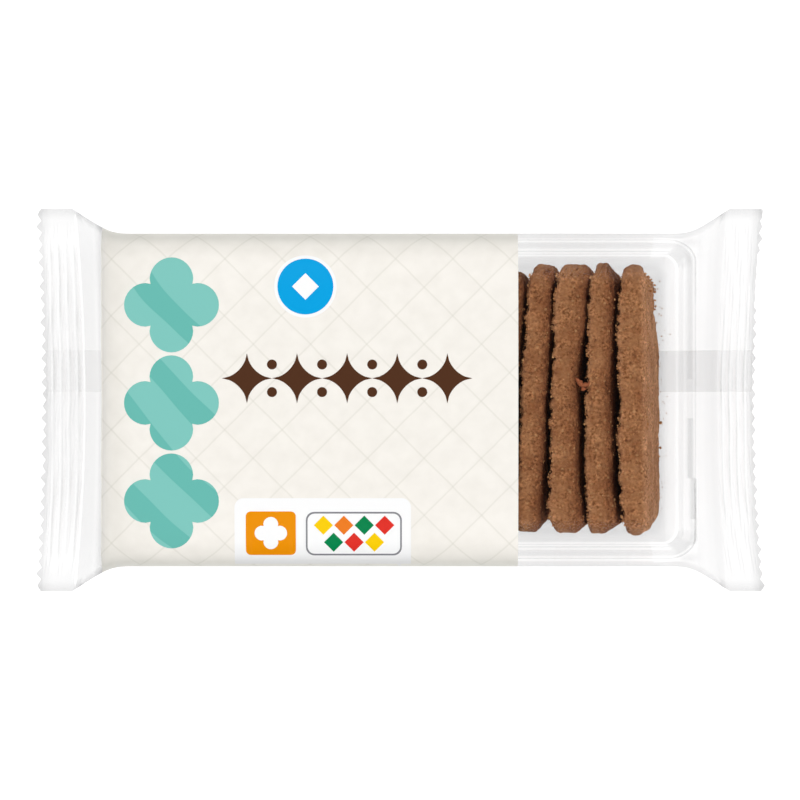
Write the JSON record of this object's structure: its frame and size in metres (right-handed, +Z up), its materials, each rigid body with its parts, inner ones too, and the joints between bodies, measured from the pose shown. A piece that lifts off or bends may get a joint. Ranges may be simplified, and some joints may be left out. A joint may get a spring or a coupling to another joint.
{
  "type": "flow-wrapped biscuit pack",
  "caption": "Sealed film pack of speculoos biscuits standing on edge in a clear tray, with a printed band, a clear window and crimped zigzag end seals.",
  "frame": {"origin": "centre of the pack's footprint, on the surface that its back panel lies on", "axes": "+X along the pack from its printed end to its clear end, +Y across it, +Z up out of the front panel"},
  "size_m": [0.1775, 0.093, 0.0425],
  "materials": {
    "film": "soft gloss packaging film, printed cream over most of the pack and clear at the window and both ends"
  },
  "bodies": {
    "root": {"film_pack": "film"}
  },
  "joints": []
}
